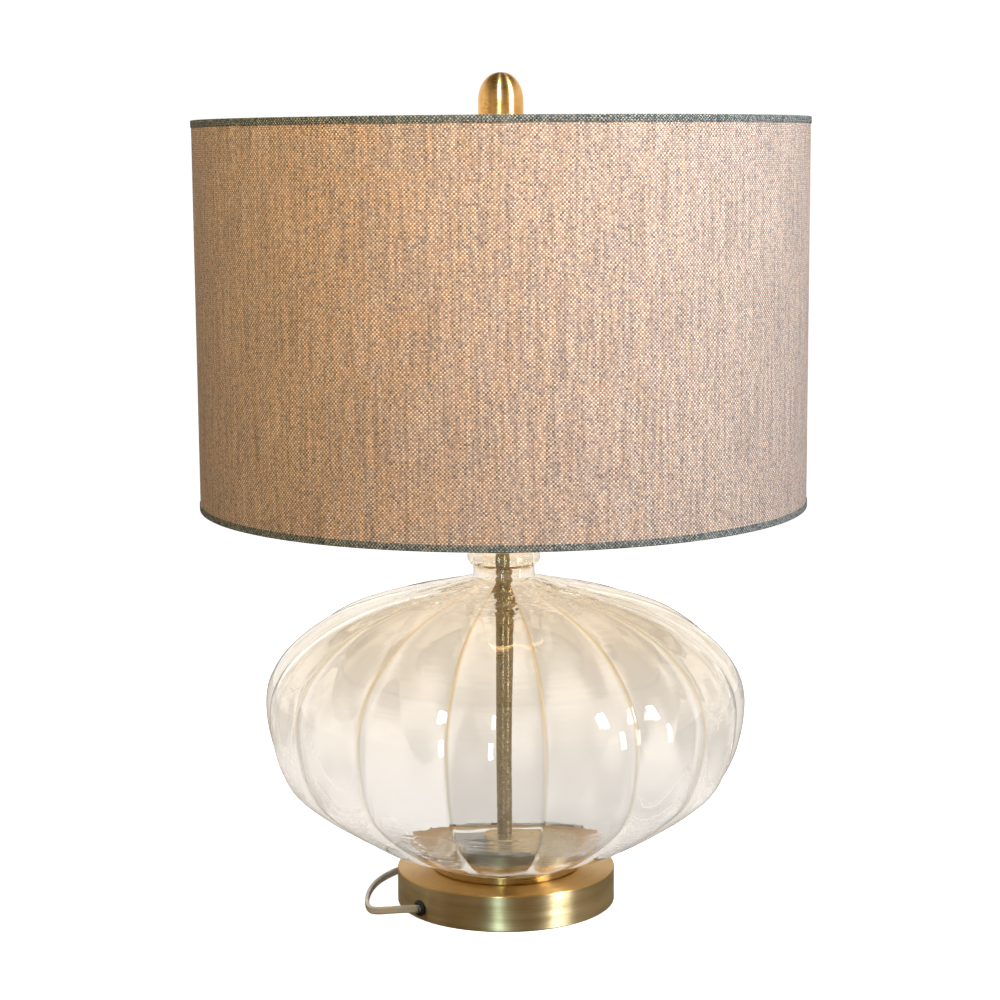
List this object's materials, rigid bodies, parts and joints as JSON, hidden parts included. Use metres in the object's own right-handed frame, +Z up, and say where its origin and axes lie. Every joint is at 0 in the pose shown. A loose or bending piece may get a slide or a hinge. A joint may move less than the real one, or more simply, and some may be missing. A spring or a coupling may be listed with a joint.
{
  "type": "table lamp with shade",
  "caption": "Table lamp: drum shade on a harp over a clear lobed glass body with a brass stem, standing on a round weighted brass base.",
  "frame": {"origin": "middle of the felt pad's underside, on the table", "axes": "+Z up along the stem, -Y the lamp's front, +X to the right seen from the front"},
  "size_m": [0.4073, 0.4074, 0.5635],
  "materials": {
    "brass_satin": "brushed",
    "brass_plated": "satin",
    "steel_plain": "plain zinc",
    "cast_iron_weight": "raw",
    "felt_black": "felt",
    "rubber_black": "matt",
    "silicone_clear": "clear",
    "glass_champagne": "clear, blown",
    "phenolic_black": "moulded",
    "card_liner": "fibre",
    "aluminium_plain": "plain",
    "bulb_plastic": "opal",
    "shade_cloth": "slub linen weave",
    "hem_cloth": "woven tape",
    "liner_sheet": "translucent",
    "cord_pvc": "clear",
    "tie_cloth": "hook and loop"
  },
  "bodies": {
    "lamp_stand": {"base_pad": "felt_black", "base_shell": "brass_satin", "base_weight": "cast_iron_weight", "base_washer": "steel_plain", "base_nut": "steel_plain", "cord_grommet": "rubber_black", "seat_plate": "brass_satin", "seat_washer": "silicone_clear", "glass_body": "glass_champagne", "floor_washer": "silicone_clear", "stem_collar": "brass_satin", "stem_tube": "brass_satin", "threaded_pipe": "steel_plain", "neck_gasket": "silicone_clear", "neck_cap": "brass_satin", "neck_nut": "brass_plated", "harp_saddle": "brass_plated", "socket_cap": "brass_plated", "socket_insert": "phenolic_black", "terminal_screws": "brass_plated", "socket_screw_shell": "brass_plated", "socket_contact": "brass_plated", "socket_sleeve": "card_liner", "socket_shell": "brass_plated", "inner_lead": "cord_pvc", "cord_run": "cord_pvc", "cord_hank": "cord_pvc", "cord_tail": "cord_pvc", "cord_ties": "tie_cloth", "plug_body": "cord_pvc", "plug_blades": "brass_plated"},
    "switch": {"switch_shaft": "steel_plain", "switch_knob": "phenolic_black"},
    "bulb": {"bulb_tip": "aluminium_plain", "bulb_insulator": "phenolic_black", "bulb_screw_base": "aluminium_plain", "bulb_housing": "bulb_plastic", "bulb_led_board": "aluminium_plain", "bulb_diffuser": "bulb_plastic"},
    "harp": {"harp_frame": "brass_plated"},
    "sleeve_left": {"harp_sleeve_left": "brass_plated"},
    "sleeve_right": {"harp_sleeve_right": "brass_plated"},
    "swivel": {"harp_swivel": "brass_plated"},
    "shade": {"shade_spider": "brass_plated", "shade_top_ring": "steel_plain", "shade_bottom_ring": "steel_plain", "shade_liner": "liner_sheet", "shade_fabric": "shade_cloth", "shade_hem_top": "hem_cloth", "shade_hem_bottom": "hem_cloth"},
    "finial": {"finial": "brass_satin"}
  },
  "joints": [
    {"name": "harp_lift", "type": "slide", "parent": "lamp_stand", "child": "harp", "axis": [0, 0, 1], "range_m": [0, 0.014]},
    {"name": "sleeve_left_slide", "type": "slide", "parent": "harp", "child": "sleeve_left", "axis": [0, 0, 1], "range_m": [0, 0.012]},
    {"name": "sleeve_right_slide", "type": "slide", "parent": "harp", "child": "sleeve_right", "axis": [0, 0, 1], "range_m": [0, 0.012]},
    {"name": "swivel_turn", "type": "hinge", "parent": "harp", "child": "swivel", "pos_m": [0, 0, 0.5151], "axis": [0, 0, 1], "continuous": true},
    {"name": "shade_lift", "type": "slide", "parent": "swivel", "child": "shade", "axis": [0, 0, 1], "range_m": [0, 0.28]},
    {"name": "finial_turn", "type": "hinge", "parent": "shade", "child": "finial", "pos_m": [0, 0, 0.5215], "axis": [0, 0, 1], "continuous": true},
    {"name": "switch_turn", "type": "hinge", "parent": "lamp_stand", "child": "switch", "pos_m": [0, -0.02, 0.2861], "axis": [0, -1, 0], "continuous": true},
    {"name": "bulb_turn", "type": "hinge", "parent": "lamp_stand", "child": "bulb", "pos_m": [0, 0, 0.3], "axis": [0, 0, 1], "continuous": true}
  ]
}
